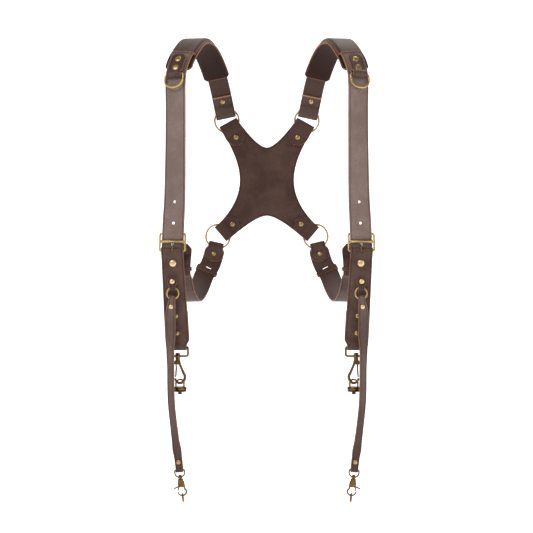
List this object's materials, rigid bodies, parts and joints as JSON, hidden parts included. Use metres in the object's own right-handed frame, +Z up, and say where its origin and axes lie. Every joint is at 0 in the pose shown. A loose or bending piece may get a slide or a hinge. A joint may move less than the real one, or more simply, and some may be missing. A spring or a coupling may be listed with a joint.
{
  "type": "camera harness",
  "caption": "Leather harness worn over both shoulders, with padded straps, a back plate, buckles, swivel hooks with camera screws and thin safety tethers.",
  "frame": {"origin": "midway between the two shoulders, level with the underside of the pads at their crest", "axes": "+Z up, -Y towards the wearer's chest side, the harness is mirrored about x = 0"},
  "size_m": [0.314, 0.24, 0.6894],
  "materials": {
    "leather_front": "matt waxed",
    "leather_dark": "matt waxed",
    "leather_pad": "matt",
    "brass": "polished",
    "old_brass": "antique",
    "rubber": "matt"
  },
  "bodies": {
    "harness": {"back_yoke": "leather_dark", "left_shoulder_strap": "leather_front", "left_shoulder_pad": "leather_pad", "left_ring_tab": "leather_front", "left_upper_ring": "brass", "left_lower_ring": "brass", "left_back_stud": "brass", "left_yoke_upper_stud": "brass", "left_yoke_lower_stud": "brass", "left_side_strap": "leather_dark", "left_side_keeper": "leather_dark", "left_front_keeper": "leather_dark", "left_buckle_frame": "brass", "left_buckle_roller": "brass", "left_buckle_prong": "brass", "left_drop_strap": "leather_front", "left_drop_rivet": "brass", "left_leash_tab": "leather_front", "left_leash_ring": "brass", "left_tether_strap": "leather_front", "right_shoulder_strap": "leather_front", "right_shoulder_pad": "leather_pad", "right_ring_tab": "leather_front", "right_upper_ring": "brass", "right_lower_ring": "brass", "right_back_stud": "brass", "right_yoke_upper_stud": "brass", "right_yoke_lower_stud": "brass", "right_side_strap": "leather_dark", "right_side_keeper": "leather_dark", "right_front_keeper": "leather_dark", "right_buckle_frame": "brass", "right_buckle_roller": "brass", "right_buckle_prong": "brass", "right_drop_strap": "leather_front", "right_drop_rivet": "brass", "right_leash_tab": "leather_front", "right_leash_ring": "brass", "right_tether_strap": "leather_front"},
    "left_d_ring_body": {"left_d_ring": "brass"},
    "left_swivel_body": {"left_swivel_frame": "old_brass"},
    "left_hook_body": {"left_snap_hook": "old_brass", "left_camera_screw": "old_brass", "left_screw_washer": "rubber"},
    "left_gate_body": {"left_hook_gate": "old_brass"},
    "left_eye_body": {"left_clasp_eye": "old_brass"},
    "left_clasp_body": {"left_clasp_body": "old_brass", "left_clasp_ring": "old_brass"},
    "left_trigger_body": {"left_clasp_trigger": "old_brass"},
    "right_d_ring_body": {"right_d_ring": "brass"},
    "right_swivel_body": {"right_swivel_frame": "old_brass"},
    "right_hook_body": {"right_snap_hook": "old_brass", "right_camera_screw": "old_brass", "right_screw_washer": "rubber"},
    "right_gate_body": {"right_hook_gate": "old_brass"},
    "right_eye_body": {"right_clasp_eye": "old_brass"},
    "right_clasp_body": {"right_clasp_body": "old_brass", "right_clasp_ring": "old_brass"},
    "right_trigger_body": {"right_clasp_trigger": "old_brass"}
  },
  "joints": [
    {"name": "left_d_ring_swing", "type": "hinge", "parent": "harness", "child": "left_d_ring_body", "pos_m": [-0.13467, -0.10648, -0.06079], "axis": [-0.9549, 0.2934, -0.0469], "range_deg": [0, 150]},
    {"name": "left_swivel_swing", "type": "hinge", "parent": "harness", "child": "left_swivel_body", "pos_m": [-0.12926, -0.11031, -0.45641], "axis": [1, 0, 0], "range_deg": [-5, 70]},
    {"name": "left_hook_turn", "type": "hinge", "parent": "left_swivel_body", "child": "left_hook_body", "pos_m": [-0.12926, -0.11031, -0.45641], "axis": [0, 0, 1], "continuous": true},
    {"name": "left_gate_hinge", "type": "hinge", "parent": "left_hook_body", "child": "left_gate_body", "pos_m": [-0.13186, -0.11031, -0.47946], "axis": [0, -1, 0], "range_deg": [0, 20], "stiffness_Nm_per_rad": 0.03, "springref_deg": -11.46},
    {"name": "left_eye_swing", "type": "hinge", "parent": "harness", "child": "left_eye_body", "pos_m": [-0.12593, -0.12246, -0.6327], "axis": [0.9953, 0, 0.0964], "range_deg": [-60, 60]},
    {"name": "left_clasp_turn", "type": "hinge", "parent": "left_eye_body", "child": "left_clasp_body", "pos_m": [-0.12593, -0.12246, -0.6327], "axis": [-0.0964, 0, 0.9953], "continuous": true},
    {"name": "left_trigger_hinge", "type": "hinge", "parent": "left_clasp_body", "child": "left_trigger_body", "pos_m": [-0.12396, -0.12246, -0.65301], "axis": [0, -1, 0], "range_deg": [0, 18], "stiffness_Nm_per_rad": 0.03, "springref_deg": -11.46},
    {"name": "right_d_ring_swing", "type": "hinge", "parent": "harness", "child": "right_d_ring_body", "pos_m": [0.13467, -0.10648, -0.06079], "axis": [-0.9549, -0.2934, 0.0469], "range_deg": [0, 150]},
    {"name": "right_swivel_swing", "type": "hinge", "parent": "harness", "child": "right_swivel_body", "pos_m": [0.12926, -0.11031, -0.45641], "axis": [1, 0, 0], "range_deg": [-5, 70]},
    {"name": "right_hook_turn", "type": "hinge", "parent": "right_swivel_body", "child": "right_hook_body", "pos_m": [0.12926, -0.11031, -0.45641], "axis": [0, 0, -1], "continuous": true},
    {"name": "right_gate_hinge", "type": "hinge", "parent": "right_hook_body", "child": "right_gate_body", "pos_m": [0.13186, -0.11031, -0.47946], "axis": [0, 1, 0], "range_deg": [0, 20], "stiffness_Nm_per_rad": 0.03, "springref_deg": -11.46},
    {"name": "right_eye_swing", "type": "hinge", "parent": "harness", "child": "right_eye_body", "pos_m": [0.12593, -0.12246, -0.6327], "axis": [0.9953, 0, -0.0964], "range_deg": [-60, 60]},
    {"name": "right_clasp_turn", "type": "hinge", "parent": "right_eye_body", "child": "right_clasp_body", "pos_m": [0.12593, -0.12246, -0.6327], "axis": [-0.0964, 0, -0.9953], "continuous": true},
    {"name": "right_trigger_hinge", "type": "hinge", "parent": "right_clasp_body", "child": "right_trigger_body", "pos_m": [0.12396, -0.12246, -0.65301], "axis": [0, 1, 0], "range_deg": [0, 18], "stiffness_Nm_per_rad": 0.03, "springref_deg": -11.46}
  ]
}
